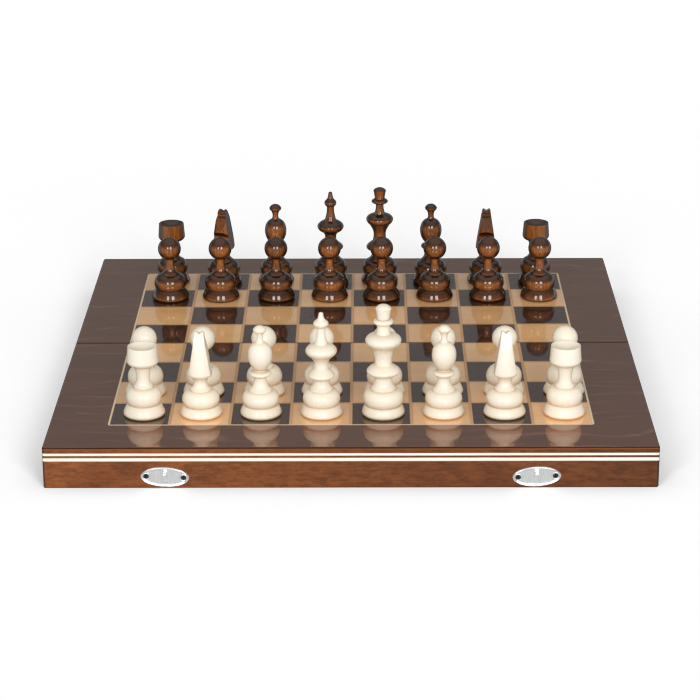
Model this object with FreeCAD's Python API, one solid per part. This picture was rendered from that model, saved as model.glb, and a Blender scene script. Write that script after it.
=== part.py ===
"""Folding chess and backgammon board with its turned men, opened flat, chess side up.

Millimetres, +Z up. The origin lies on the table under the middle of the open board, and the seam
between the two halves runs along X.
"""
import FreeCAD
import Part
import math
import os

from FreeCAD import Vector

# Driving dimensions of the box
board_side = 480.0
border_width = 46.6
half_height = 34.0
seam_gap = 0.4
wall_thickness = 12.0
panel_thickness = 3.0
veneer_thickness = 2.05
corner_radius = 1.5
top_edge_round = 1.3
rim_edge_round = 0.8
cut_overrun = 5.0

# Pale stripes let into the outer walls, from the panel down
upper_stripe_height = 1.9
stripe_spacing = 1.95
lower_stripe_height = 2.65
stripe_depth = 1.6

# Playing field
squares_per_side = 8
line_width = 2.2
rim_line_width = 1.5
field_corner_radius = 2.5

# Backgammon points inside each half
points_per_end = 6
point_length = 186.0
point_gap = 1.0
point_thickness = 0.8

# Butt hinges let into the rims
hinge_spacing = 300.0
hinge_length = 36.0
knuckle_count = 5
knuckle_play = 0.3
leaf_width = 9.0
leaf_thickness = 1.2
barrel_radius = 1.6
barrel_clearance = 0.4
hinge_pin_radius = 0.8
hinge_pin_clearance = 0.05
mortise_clearance = 0.1
closing_gap = 0.3
leaf_screw_spacing = 12.0

# Screws
screw_shank_radius = 1.1
screw_head_radius = 2.1
screw_clearance = 0.05
screw_cross_reach = 1.25
screw_cross_width = 0.8
screw_cross_depth = 0.6
leaf_screw_length = 9.0
leaf_screw_head_depth = 1.0
plate_screw_length = 8.0
plate_screw_head_height = 0.5

# Latch plates, keepers and hooks
latch_spacing = 290.0
latch_height = 9.5
latch_tilt = 2.6
plate_length = 38.0
plate_width = 16.4
plate_thickness = 0.9
plate_rim_height = 1.4
plate_rim_width = 1.1
plate_screw_spacing = 29.2
staple_width = 2.6
staple_height = 9.2
staple_thickness = 1.0
staple_corner_radius = 1.8
staple_clearance = 0.4
hook_lift = 1.9
hook_thickness = 1.2
hook_tip_width = 2.8
hook_arm_width = 3.0
hook_eye_radius = 3.2
hook_tab_length = 4.5
hook_arm_angle = 24.0
hook_tip_angle = 9.0
hook_play = 0.1
hook_bore_clearance = 0.05
rivet_radius = 1.2
rivet_shoulder_radius = 2.0
rivet_head_radius = 2.5

# Turned men: heights and base radii
pawn_height = 57.4
pawn_base_radius = 16.8
rook_height = 58.2
rook_base_radius = 16.7
rook_rim_width = 0.9
rook_dish_depth = 3.2
knight_height = 71.0
knight_base_radius = 16.9
bishop_height = 75.4
bishop_base_radius = 16.6
queen_height = 86.4
queen_base_radius = 16.8
king_height = 93.0
king_base_radius = 17.1

# The dark rooks, queen and king are turned slimmer than the white ones
dark_rook_height = 57.2
dark_rook_base_radius = 16.0
dark_queen_height = 87.2
dark_queen_base_radius = 16.8
dark_king_height = 91.2
dark_king_base_radius = 17.1

# Turned outlines, from the foot up. Each row is one smooth stretch, and the outline has an edge where
# two rows meet. Radii are shares of the base radius and heights are shares of the man's height.
pawn_shares = [
    [(0.900, 0.000), (1.000, 0.030), (0.962, 0.078), (0.878, 0.130), (0.785, 0.165)],
    [(0.785, 0.165), (0.858, 0.280), (0.710, 0.370), (0.445, 0.402)],
    [(0.445, 0.402), (0.440, 0.422)],
    [(0.440, 0.422), (0.315, 0.465), (0.252, 0.540), (0.240, 0.600), (0.262, 0.660)],
]
rook_shares = [
    [(0.900, 0.000), (1.000, 0.034), (0.955, 0.082), (0.870, 0.132), (0.780, 0.170)],
    [(0.780, 0.170), (0.856, 0.290), (0.720, 0.374), (0.475, 0.404)],
    [(0.475, 0.404), (0.470, 0.427)],
    [(0.470, 0.427), (0.355, 0.478), (0.322, 0.540), (0.345, 0.615), (0.395, 0.680), (0.440, 0.712)],
    [(0.440, 0.712), (0.610, 0.732), (0.725, 0.762), (0.755, 0.795)],
    [(0.755, 0.795), (0.700, 1.000)],
]
knight_blank_shares = [
    [(0.900, 0.000), (1.000, 0.028), (0.962, 0.064), (0.882, 0.100), (0.798, 0.123)],
    [(0.798, 0.123), (0.888, 0.200), (0.750, 0.272), (0.495, 0.298)],
    [(0.495, 0.298), (0.490, 0.316)],
    [(0.490, 0.316), (0.365, 0.348), (0.318, 0.395), (0.390, 0.440), (0.480, 0.464)],
    [(0.480, 0.464), (0.580, 0.480), (0.615, 0.505)],
    [(0.615, 0.505), (0.575, 0.620), (0.500, 0.750), (0.410, 0.880), (0.340, 0.960)],
]
bishop_shares = [
    [(0.900, 0.000), (1.000, 0.026), (0.966, 0.060), (0.888, 0.094), (0.812, 0.116)],
    [(0.812, 0.116), (0.894, 0.190), (0.775, 0.250), (0.560, 0.272)],
    [(0.560, 0.272), (0.552, 0.288)],
    [(0.552, 0.288), (0.410, 0.322), (0.325, 0.368), (0.308, 0.402), (0.345, 0.434)],
    [(0.345, 0.434), (0.490, 0.448), (0.526, 0.466), (0.470, 0.484), (0.310, 0.498), (0.270, 0.508)],
    [(0.270, 0.508), (0.480, 0.568), (0.588, 0.676), (0.480, 0.764), (0.205, 0.812)],
    [(0.205, 0.812), (0.150, 0.846), (0.158, 0.884), (0.225, 0.922)],
    [(0.225, 0.922), (0.302, 0.938), (0.322, 0.956)],
]
queen_shares = [
    [(0.900, 0.000), (1.000, 0.023), (0.966, 0.052), (0.890, 0.084), (0.812, 0.105)],
    [(0.812, 0.105), (0.892, 0.166), (0.775, 0.226), (0.562, 0.248)],
    [(0.562, 0.248), (0.555, 0.262)],
    [(0.555, 0.262), (0.432, 0.290), (0.390, 0.316), (0.397, 0.342), (0.440, 0.362)],
    [(0.440, 0.362), (0.600, 0.371), (0.640, 0.386), (0.565, 0.414), (0.425, 0.442), (0.362, 0.453)],
    [(0.362, 0.453), (0.338, 0.486), (0.372, 0.525), (0.470, 0.558), (0.570, 0.578)],
    [(0.570, 0.578), (0.715, 0.605), (0.748, 0.632), (0.660, 0.662), (0.450, 0.686), (0.320, 0.694)],
    [(0.320, 0.694), (0.248, 0.742), (0.214, 0.786), (0.200, 0.827), (0.206, 0.850)],
    [(0.206, 0.850), (0.335, 0.874), (0.361, 0.894), (0.295, 0.915), (0.200, 0.930), (0.142, 0.952),
     (0.112, 0.986)],
]
king_shares = [
    [(0.910, 0.000), (1.000, 0.022), (0.976, 0.048), (0.918, 0.074), (0.854, 0.092)],
    [(0.854, 0.092), (0.947, 0.160), (0.835, 0.214), (0.595, 0.234)],
    [(0.595, 0.234), (0.588, 0.247)],
    [(0.588, 0.247), (0.475, 0.276), (0.422, 0.314), (0.430, 0.344), (0.490, 0.367)],
    [(0.490, 0.367), (0.725, 0.378), (0.782, 0.395), (0.700, 0.424), (0.500, 0.450), (0.410, 0.459)],
    [(0.410, 0.459), (0.392, 0.488), (0.432, 0.546), (0.520, 0.592), (0.660, 0.626)],
    [(0.660, 0.626), (0.800, 0.652), (0.842, 0.680), (0.745, 0.710), (0.510, 0.730), (0.352, 0.736)],
    [(0.352, 0.736), (0.312, 0.760), (0.293, 0.792), (0.302, 0.816)],
    [(0.302, 0.816), (0.430, 0.829), (0.472, 0.844), (0.425, 0.859), (0.290, 0.866)],
    [(0.290, 0.866), (0.312, 0.905), (0.376, 0.964)],
]
dark_queen_shares = [
    [(0.900, 0.000), (1.000, 0.023), (0.966, 0.052), (0.890, 0.084), (0.812, 0.106)],
    [(0.812, 0.106), (0.890, 0.172), (0.775, 0.228), (0.562, 0.250)],
    [(0.562, 0.250), (0.555, 0.264)],
    [(0.555, 0.264), (0.432, 0.294), (0.372, 0.326), (0.376, 0.352), (0.425, 0.370)],
    [(0.425, 0.370), (0.630, 0.380), (0.676, 0.393), (0.600, 0.420), (0.420, 0.448), (0.330, 0.462)],
    [(0.330, 0.462), (0.292, 0.505), (0.330, 0.538), (0.425, 0.560), (0.505, 0.570)],
    [(0.505, 0.570), (0.670, 0.598), (0.712, 0.626), (0.620, 0.655), (0.430, 0.680), (0.310, 0.692)],
    [(0.310, 0.692), (0.250, 0.728), (0.204, 0.770), (0.186, 0.815), (0.195, 0.842)],
    [(0.195, 0.842), (0.295, 0.864), (0.319, 0.883), (0.265, 0.905), (0.180, 0.922), (0.132, 0.945),
     (0.094, 0.988)],
]
dark_king_shares = [
    [(0.910, 0.000), (1.000, 0.022), (0.970, 0.048), (0.905, 0.074), (0.835, 0.094)],
    [(0.835, 0.094), (0.927, 0.166), (0.815, 0.220), (0.575, 0.240)],
    [(0.575, 0.240), (0.568, 0.253)],
    [(0.568, 0.253), (0.450, 0.280), (0.385, 0.312), (0.390, 0.336), (0.440, 0.352)],
    [(0.440, 0.352), (0.660, 0.360), (0.709, 0.374), (0.630, 0.402), (0.440, 0.432), (0.365, 0.443)],
    [(0.365, 0.443), (0.318, 0.500), (0.345, 0.550), (0.440, 0.588), (0.550, 0.622)],
    [(0.550, 0.622), (0.680, 0.648), (0.715, 0.675), (0.620, 0.703), (0.400, 0.722), (0.270, 0.730)],
    [(0.270, 0.730), (0.222, 0.765), (0.195, 0.800), (0.215, 0.838)],
    [(0.215, 0.838), (0.385, 0.846), (0.432, 0.858), (0.380, 0.872), (0.250, 0.880)],
    [(0.250, 0.880), (0.275, 0.920), (0.329, 0.972)],
]

# Knight's head, seen from its side. Reaches are shares of the base radius, towards the face, and heights
# are shares of the knight's height. The rows run up the mane, over the ears and down the face.
knight_mane_shares = [(-0.630, 0.505), (-0.560, 0.640), (-0.430, 0.800), (-0.240, 0.925), (-0.080, 1.000)]
knight_ear_shares = [(-0.080, 1.000), (0.130, 0.980), (0.200, 0.950)]
knight_brow_shares = [(0.200, 0.950), (0.130, 0.925), (0.260, 0.890)]
knight_face_shares = [(0.260, 0.890), (0.385, 0.810), (0.503, 0.731)]
knight_nose_shares = [(0.503, 0.731), (0.512, 0.714), (0.470, 0.700)]
knight_jaw_shares = [(0.470, 0.700), (0.330, 0.668), (0.220, 0.625), (0.330, 0.560), (0.630, 0.505)]
knight_stem_share = 0.395
knight_head_low_half_width = 8.7
knight_head_top_half_width = 3.2
knight_ear_notch_depth = 2.4

# The men stand a little off the middles of their squares, as hands set them down. Shifts to the right are
# shares of the square pitch, from the left file to the right one.
white_back_shift_shares = [0.056, 0.005, 0.000, 0.010, 0.036, 0.039, 0.052, 0.045]
white_pawn_shift_shares = [0.000, -0.013, 0.022, 0.000, 0.065, 0.054, 0.093, 0.115]
dark_back_shift_shares = [0.015, 0.008, 0.018, 0.074, 0.018, 0.000, 0.062, 0.020]
dark_pawn_shift_shares = [0.043, 0.000, 0.054, 0.064, 0.050, 0.053, 0.062, 0.031]
dark_pawn_back_share = 0.05

# Degrees by which the knights are turned from straight ahead
white_left_knight_turn = -2.0
white_right_knight_turn = 1.0
dark_left_knight_turn = -18.0
dark_right_knight_turn = -1.0

# Levels above the table: the hinge barrels are the lowest points of the open board
axis_level = barrel_radius
rim_level = axis_level + closing_gap / 2
top_level = rim_level + half_height
panel_top = top_level - veneer_thickness
wall_top = panel_top - panel_thickness
upper_stripe_low = wall_top - upper_stripe_height
lower_stripe_top = upper_stripe_low - stripe_spacing
lower_stripe_low = lower_stripe_top - lower_stripe_height

# Plan of the front half: it runs from the latch wall's face to its side of the seam
side_face = board_side / 2
latch_face = -board_side / 2
seam_face = -seam_gap / 2
tray_side = side_face - wall_thickness
tray_latch = latch_face + wall_thickness
tray_seam = seam_face - wall_thickness
field_edge = side_face - border_width
field_half = field_edge - rim_line_width + line_width / 2
square_pitch = 2 * field_half / squares_per_side

# Latch stack, out from the wall's face
hook_outer = hook_lift + hook_thickness
staple_inner = hook_outer + staple_clearance
latch_standoff = staple_inner + staple_thickness
latch_level = rim_level + latch_height
hook_reach = 2 * (latch_level - axis_level)

UP = Vector(0, 0, 1)
ORIGIN = Vector(0, 0, 0)
parts = {}


def box(x0, x1, y0, y1, z0, z1):
    """Block between two corners."""
    return Part.makeBox(x1 - x0, y1 - y0, z1 - z0, Vector(x0, y0, z0))


def prism(corners, z0, z1):
    """Upright prism over a polygon of (x, y) corners."""
    points = [Vector(x, y, z0) for x, y in corners]
    face = Part.Face(Part.makePolygon(points + points[:1]))
    return face.extrude(Vector(0, 0, z1 - z0))


def cylinder(radius, x, y, z0, z1):
    """Upright cylinder."""
    return Part.makeCylinder(radius, z1 - z0, Vector(x, y, z0))


def rod(radius, x0, x1, y, z):
    """Cylinder along X."""
    return Part.makeCylinder(radius, x1 - x0, Vector(x0, y, z), Vector(1, 0, 0))


def cone(radius0, radius1, x, y, z0, z1):
    """Upright cone, or a cylinder where its two radii are the same."""
    return Part.makeCone(radius0, radius1, z1 - z0, Vector(x, y, z0))


def turn_to_rear(shape):
    """Half a turn about the upright axis, which takes the front half's place to the rear half's."""
    turned = shape.copy()
    turned.rotate(ORIGIN, UP, 180)
    return turned


def half_outline(z0, z1):
    """Plan of the front half as a solid, with its two outer corners rounded."""
    solid = box(-side_face, side_face, latch_face, seam_face, z0, z1)
    corners = [e for e in solid.Edges if is_upright(e) and e.CenterOfMass.y < latch_face + corner_radius]
    return solid.makeFillet(corner_radius, corners)


def is_upright(edge):
    """True for a straight edge along Z."""
    return edge.BoundBox.XLength < edge.BoundBox.ZLength and edge.BoundBox.YLength < edge.BoundBox.ZLength


def outer_edges(solid, level):
    """Edges of a half's outline at one level, apart from the one along the seam."""
    found = []
    for edge in solid.Edges:
        middle = edge.CenterOfMass
        level_edge = edge.BoundBox.ZLength < top_edge_round and abs(middle.z - level) < top_edge_round
        at_side = abs(abs(middle.x) - side_face) < corner_radius
        at_latch = abs(middle.y - latch_face) < corner_radius
        if level_edge and (at_side or at_latch):
            found.append(edge)
    return found


def stripe(z0, z1):
    """One pale stripe that runs round the latch wall and the two side walls."""
    band = half_outline(z0, z1)
    core = box(stripe_depth - side_face, side_face - stripe_depth, latch_face + stripe_depth,
               cut_overrun, z0 - cut_overrun, z1 + cut_overrun)
    return band.cut(core)


def stripes():
    """The two stripes of a half."""
    return [stripe(upper_stripe_low, wall_top), stripe(lower_stripe_low, lower_stripe_top)]


def hinge_places():
    """X of each hinge's middle."""
    return [-hinge_spacing / 2, hinge_spacing / 2]


def latch_places():
    """X of each latch's middle and the degrees by which its plate is turned on the wall."""
    return [(-latch_spacing / 2, -latch_tilt), (latch_spacing / 2, latch_tilt)]


def leaf_screw_places(middle):
    """(x, y) of the three screws of one front leaf."""
    y = -(leaf_width + barrel_radius + barrel_clearance) / 2
    return [(middle + step * leaf_screw_spacing, y) for step in (-1, 0, 1)]


def plate_screw_places():
    """X of the two screws of one latch plate, from its middle."""
    return [-plate_screw_spacing / 2, plate_screw_spacing / 2]


def wall_ring():
    """The four walls of the front half before they are parted at their mitres."""
    ring = half_outline(rim_level, wall_top)
    ring = ring.makeFillet(rim_edge_round, outer_edges(ring, rim_level))
    tray = box(-tray_side, tray_side, tray_latch, tray_seam, rim_level - cut_overrun, wall_top + cut_overrun)
    ring = ring.cut(tray)
    for band in stripes():
        ring = ring.cut(band)
    return ring


def mitred_walls():
    """Latch wall, hinge wall, left wall and right wall of the front half."""
    ring = wall_ring()
    z0 = rim_level - cut_overrun
    z1 = wall_top + cut_overrun
    out_x = side_face + cut_overrun
    out_latch = latch_face - cut_overrun
    out_seam = seam_face + cut_overrun
    latch = [(-out_x, out_latch), (out_x, out_latch), (tray_side, tray_latch), (-tray_side, tray_latch)]
    hinge = [(-out_x, out_seam), (out_x, out_seam), (tray_side, tray_seam), (-tray_side, tray_seam)]
    left = [(-out_x, out_latch), (-tray_side, tray_latch), (-tray_side, tray_seam), (-out_x, out_seam)]
    right = [(-x, y) for x, y in left]
    return [ring.common(prism(corners, z0, z1)) for corners in (latch, hinge, left, right)]


def cut_hinge_seats(wall):
    """Mortises, barrel hollows and screw holes in a front hinge wall."""
    screw_hole = screw_shank_radius + screw_clearance
    for middle in hinge_places():
        x0 = middle - hinge_length / 2 - mortise_clearance
        x1 = middle + hinge_length / 2 + mortise_clearance
        mortise = box(x0, x1, -leaf_width - mortise_clearance, cut_overrun,
                      rim_level - cut_overrun, rim_level + leaf_thickness)
        hollow = rod(barrel_radius + barrel_clearance, x0, x1, 0, axis_level)
        wall = wall.cut(mortise).cut(hollow)
        for x, y in leaf_screw_places(middle):
            depth = rim_level + leaf_screw_length + screw_clearance
            wall = wall.cut(cylinder(screw_hole, x, y, rim_level - cut_overrun, depth))
    return wall


def cut_plate_screw_holes(wall):
    """Holes for the latch plates' screws in a front latch wall."""
    for x in plate_screw_places():
        hole = cylinder(screw_shank_radius + screw_clearance, x, 0,
                        -plate_screw_length - screw_clearance, cut_overrun)
        for middle, tilt in latch_places():
            wall = wall.cut(on_latch_wall(hole, middle, tilt))
    return wall


def on_latch_wall(shape, x, tilt=0):
    """Stands a piece on the front latch wall: its X stays, its Y turns up and its Z turns outward."""
    placed = shape.copy()
    placed.rotate(ORIGIN, UP, tilt)
    placed.rotate(ORIGIN, Vector(1, 0, 0), 90)
    placed.translate(Vector(x, latch_face, latch_level))
    return placed


def panel():
    """Panel that closes the tray."""
    return half_outline(wall_top, panel_top)


def field_block(z0, z1):
    """The front half's share of the playing field, with its two outer corners rounded."""
    solid = box(-field_edge, field_edge, -field_edge, seam_face, z0, z1)
    inner = field_corner_radius - field_edge
    corners = [e for e in solid.Edges if is_upright(e) and e.CenterOfMass.y < inner]
    return solid.makeFillet(field_corner_radius, corners)


def border_veneer():
    """Dark veneer round three sides of the field."""
    sheet = half_outline(panel_top, top_level)
    sheet = sheet.makeFillet(top_edge_round, outer_edges(sheet, top_level))
    return sheet.cut(field_block(panel_top - cut_overrun, top_level + cut_overrun))


def square(column, row):
    """One veneer square. Columns count from the left edge and rows from the front edge."""
    inset = line_width / 2
    x0 = column * square_pitch - field_half
    y0 = row * square_pitch - field_half
    side = square_pitch - line_width
    return box(x0 + inset, x0 + inset + side, y0 + inset, y0 + inset + side, panel_top, top_level)


def front_squares(dark):
    """Squares of one colour on the front half. The square at the front left corner is dark."""
    found = []
    for row in range(squares_per_side // 2):
        for column in range(squares_per_side):
            if ((row + column) % 2 == 0) == dark:
                found.append(square(column, row))
    return found


def stringing():
    """Pale lines between the squares and round the field, in one lattice."""
    lattice = field_block(panel_top, top_level)
    return lattice.cut(Part.makeCompound(front_squares(True) + front_squares(False)))


def front_points(dark):
    """Backgammon points of one colour under the front panel: triangles from both short ends."""
    found = []
    point_pitch = (tray_seam - tray_latch) / points_per_end
    for end in (-1, 1):
        for place in range(points_per_end):
            if ((place + (end + 1) // 2) % 2 == 0) == dark:
                y0 = tray_latch + place * point_pitch + point_gap / 2
                y1 = tray_latch + (place + 1) * point_pitch - point_gap / 2
                tip = end * (tray_side - point_length)
                corners = [(end * tray_side, y0), (end * tray_side, y1), (tip, (y0 + y1) / 2)]
                found.append(prism(corners, wall_top - point_thickness, wall_top))
    return found


def hinge_leaf(middle, first_knuckle, side):
    """One leaf with every second knuckle. Side is -1 for the front half and 1 for the rear half."""
    x0 = middle - hinge_length / 2
    gap = barrel_radius + barrel_clearance
    edges = sorted([side * gap, side * leaf_width])
    leaf = box(x0, x0 + hinge_length, edges[0], edges[1], rim_level, rim_level + leaf_thickness)
    pitch = hinge_length / knuckle_count
    for index in range(first_knuckle, knuckle_count, 2):
        k0 = x0 + index * pitch + (knuckle_play / 2 if index > 0 else 0)
        k1 = x0 + (index + 1) * pitch - (knuckle_play / 2 if index < knuckle_count - 1 else 0)
        web = sorted([0, side * gap])
        leaf = leaf.fuse(box(k0, k1, web[0], web[1], rim_level, rim_level + leaf_thickness))
        leaf = leaf.fuse(rod(barrel_radius, k0, k1, 0, axis_level))
    bore = hinge_pin_radius + hinge_pin_clearance
    leaf = leaf.cut(rod(bore, x0 - cut_overrun, x0 + hinge_length + cut_overrun, 0, axis_level))
    for x, y in leaf_screw_places(middle):
        leaf = leaf.cut(leaf_screw(x, -side * y, screw_clearance))
    return leaf.removeSplitter()


def leaf_screw(x, y, clearance):
    """Countersunk screw up into a rim. With a clearance it is the hole in the leaf."""
    head_top = rim_level + leaf_screw_head_depth
    head = cone(screw_head_radius + clearance, screw_shank_radius + clearance, x, y, rim_level, head_top)
    shank = cylinder(screw_shank_radius + clearance, x, y, head_top, rim_level + leaf_screw_length)
    screw = head.fuse(shank)
    if clearance > 0:
        return screw
    return screw.cut(cross_recess(x, y, rim_level, 1)).removeSplitter()


def cross_recess(x, y, face, into):
    """Cross-shaped recess sunk from a screw head's face, up where into is 1 and down where it is -1."""
    reach = screw_cross_reach
    half = screw_cross_width / 2
    z0, z1 = sorted([face - into * screw_cross_depth, face + into * screw_cross_depth])
    bar = box(x - reach, x + reach, y - half, y + half, z0, z1)
    return bar.fuse(box(x - half, x + half, y - reach, y + reach, z0, z1))


def plate_screw(x):
    """Low-headed screw through a latch plate: it lies along Z and its plate's back lies at Z zero."""
    head_top = plate_thickness + plate_screw_head_height
    head_rim = screw_head_radius - plate_screw_head_height
    head = cone(screw_head_radius, head_rim, x, 0, plate_thickness, head_top)
    shank = cylinder(screw_shank_radius, x, 0, -plate_screw_length, plate_thickness)
    return head.fuse(shank).cut(cross_recess(x, 0, head_top, -1)).removeSplitter()


def oval(length, width, z0, z1):
    """Solid over an ellipse that lies along X."""
    ring = Part.Ellipse(Vector(0, 0, z0), length / 2, width / 2).toShape()
    return Part.Face(Part.Wire([ring])).extrude(Vector(0, 0, z1 - z0))


def latch_plate():
    """Pressed plate with a raised rim and two screw holes: its back lies at Z zero."""
    plate = oval(plate_length, plate_width, 0, plate_rim_height)
    pan = oval(plate_length - 2 * plate_rim_width, plate_width - 2 * plate_rim_width,
               plate_thickness, plate_rim_height + cut_overrun)
    plate = plate.cut(pan)
    for x in plate_screw_places():
        plate = plate.cut(cylinder(screw_shank_radius + screw_clearance, x, 0, -cut_overrun, cut_overrun))
        plate = plate.cut(cylinder(screw_head_radius + screw_clearance, x, 0, plate_thickness, cut_overrun))
    return plate


def staple():
    """Upright strap that stands off the keeper plate and lets the hook's tip in from the side."""
    half = staple_height / 2
    strap = box(-staple_width / 2, staple_width / 2, -half, half, plate_thickness, latch_standoff)
    along_x = [e for e in strap.Edges if e.BoundBox.XLength > staple_width / 2]
    ends = [e for e in along_x if e.CenterOfMass.z > staple_inner]
    strap = strap.makeFillet(staple_corner_radius, ends)
    window = half - staple_thickness
    return strap.cut(box(-staple_width, staple_width, -window, window, 0, staple_inner))


def keeper():
    """Plate and staple in one."""
    return latch_plate().fuse(staple()).removeSplitter()


def hook_plate():
    """Plate with a hole for the hook's rivet."""
    hole = cylinder(rivet_radius + hook_bore_clearance, 0, 0, -cut_overrun, cut_overrun)
    return latch_plate().cut(hole)


def rivet():
    """Shouldered rivet that carries a hook: its end is flush with the plate's back."""
    shank = cylinder(rivet_radius, 0, 0, 0, hook_outer + hook_play)
    shoulder = cylinder(rivet_shoulder_radius, 0, 0, plate_thickness, hook_lift - hook_play)
    head = cylinder(rivet_head_radius, 0, 0, hook_outer + hook_play, latch_standoff)
    rounding = (latch_standoff - hook_outer - hook_play) / 2
    rim = [e for e in head.Edges if abs(e.CenterOfMass.z - latch_standoff) < rounding]
    return shank.fuse(shoulder).fuse(head.makeFillet(rounding, rim)).removeSplitter()


def hook():
    """Flat hook, stowed: it points along X, its arm rises from the eye and its tip curls down."""
    arm_turn = math.radians(hook_arm_angle)
    tip_turn = math.radians(hook_tip_angle)
    half_tip = hook_tip_width / 2
    eye = cylinder(hook_eye_radius, 0, 0, hook_lift, hook_outer)
    arm_length = hook_reach + hook_tab_length
    half_arm = hook_arm_width / 2
    arm = box(0, arm_length, -half_arm, half_arm, hook_lift, hook_outer)
    arm = arm.fuse(cylinder(half_arm, arm_length, 0, hook_lift, hook_outer))
    arm.rotate(ORIGIN, UP, hook_arm_angle)
    ring = cylinder(hook_reach + half_tip, 0, 0, hook_lift, hook_outer)
    ring = ring.cut(cylinder(hook_reach - half_tip, 0, 0, hook_lift, hook_outer))
    far = 2 * hook_reach
    sector = prism([(0, 0), (far * math.cos(tip_turn), -far * math.sin(tip_turn)),
                    (far * math.cos(arm_turn), far * math.sin(arm_turn))], hook_lift, hook_outer)
    tip_end = cylinder(half_tip, hook_reach * math.cos(tip_turn), -hook_reach * math.sin(tip_turn),
                       hook_lift, hook_outer)
    solid = eye.fuse([arm, ring.common(sector), tip_end])
    bore = cylinder(rivet_radius + hook_bore_clearance, 0, 0,
                    hook_lift - cut_overrun, hook_outer + cut_overrun)
    return solid.cut(bore).removeSplitter()


def outline_edge(shares, base_radius, height):
    """One smooth stretch of a turned outline, in the XZ plane."""
    points = [Vector(r * base_radius, 0, z * height) for r, z in shares]
    if len(points) == 2:
        return Part.LineSegment(points[0], points[1]).toShape()
    curve = Part.BSplineCurve()
    curve.interpolate(points)
    return curve.toShape()


def dome_edge(radius, level, apex):
    """Arc from a rim to the axis, centred on the axis: a dome, a ball or, where apex is lower, a dish."""
    rise = apex - level
    dome_radius = (radius ** 2 + rise ** 2) / (2 * abs(rise))
    half_turn = math.atan2(radius, dome_radius - abs(rise)) / 2
    drop = math.copysign(dome_radius * (1 - math.cos(half_turn)), rise)
    middle = Vector(dome_radius * math.sin(half_turn), 0, apex - drop)
    return Part.Arc(Vector(radius, 0, level), middle, Vector(0, 0, apex)).toShape()


def turned(stretch_shares, base_radius, height, rim_width=0, apex=None):
    """Turned solid about Z on its foot. A flat rim, if any, lies between the outline and the dome or dish."""
    apex = height if apex is None else apex
    edges = [outline_edge(shares, base_radius, height) for shares in stretch_shares]
    foot_share = stretch_shares[0][0][0]
    last_share, level_share = stretch_shares[-1][-1]
    rim = last_share * base_radius
    level = level_share * height
    if rim_width > 0:
        edges.append(Part.LineSegment(Vector(rim, 0, level), Vector(rim - rim_width, 0, level)).toShape())
    edges.append(dome_edge(rim - rim_width, level, apex))
    edges.append(Part.LineSegment(Vector(0, 0, apex), ORIGIN).toShape())
    edges.append(Part.LineSegment(ORIGIN, Vector(foot_share * base_radius, 0, 0)).toShape())
    face = Part.Face(Part.Wire(edges))
    return face.revolve(ORIGIN, UP, 360)


def head_point(share):
    """Point of the knight's head outline, in the YZ plane."""
    reach_share, height_share = share
    return Vector(0, reach_share * knight_base_radius, height_share * knight_height)


def head_edge(shares):
    """One smooth stretch of the knight's head outline."""
    curve = Part.BSplineCurve()
    curve.interpolate([head_point(share) for share in shares])
    return curve.toShape()


def knight():
    """Turned foot and head blank, sawn flat on two sides and cut to a horse's outline, facing +Y."""
    blank = turned(knight_blank_shares, knight_base_radius, knight_height)
    stem_level = knight_stem_share * knight_height
    neck_level = knight_mane_shares[0][1] * knight_height
    reach = knight_height
    foot = blank.common(box(-reach, reach, -reach, reach, 0, stem_level))
    collar = blank.common(box(-reach, reach, -reach, reach, stem_level, neck_level))
    head = blank.common(box(-reach, reach, -reach, reach, neck_level, knight_height))
    rows = [knight_mane_shares, knight_ear_shares, knight_brow_shares, knight_face_shares,
            knight_nose_shares, knight_jaw_shares]
    edges = [head_edge(row) for row in rows]
    edges.append(Part.LineSegment(head_point(rows[-1][-1]), head_point(rows[0][0])).toShape())
    outline = Part.Face(Part.Wire(edges))
    outline.translate(Vector(-reach, 0, 0))
    head = head.common(outline.extrude(Vector(2 * reach, 0, 0)))
    wedge = knight_wedge(stem_level, neck_level, reach)
    return foot.fuse([collar.common(wedge), head.common(wedge)]).removeSplitter()


def knight_wedge(stem_level, neck_level, reach):
    """Space between the two sawn flats, with the notch between the ears taken out."""
    slope = (knight_head_low_half_width - knight_head_top_half_width) / (knight_height - neck_level)
    low = knight_head_low_half_width + slope * (neck_level - stem_level)
    top = knight_head_top_half_width
    notch = knight_height - knight_ear_notch_depth
    corners = [(-low, stem_level), (low, stem_level), (top, knight_height), (0, notch), (-top, knight_height)]
    points = [Vector(x, -reach, z) for x, z in corners]
    face = Part.Face(Part.makePolygon(points + points[:1]))
    return face.extrude(Vector(0, 2 * reach, 0))


def square_middle(column, row):
    """Middle of a square on the playing surface."""
    x = (column + 1 / 2) * square_pitch - field_half
    y = (row + 1 / 2) * square_pitch - field_half
    return Vector(x, y, top_level)


def add(name, solids):
    """Keeps one node: a single solid, or a group of separate ones."""
    parts[name] = solids[0] if len(solids) == 1 else Part.makeCompound(solids)


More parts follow.
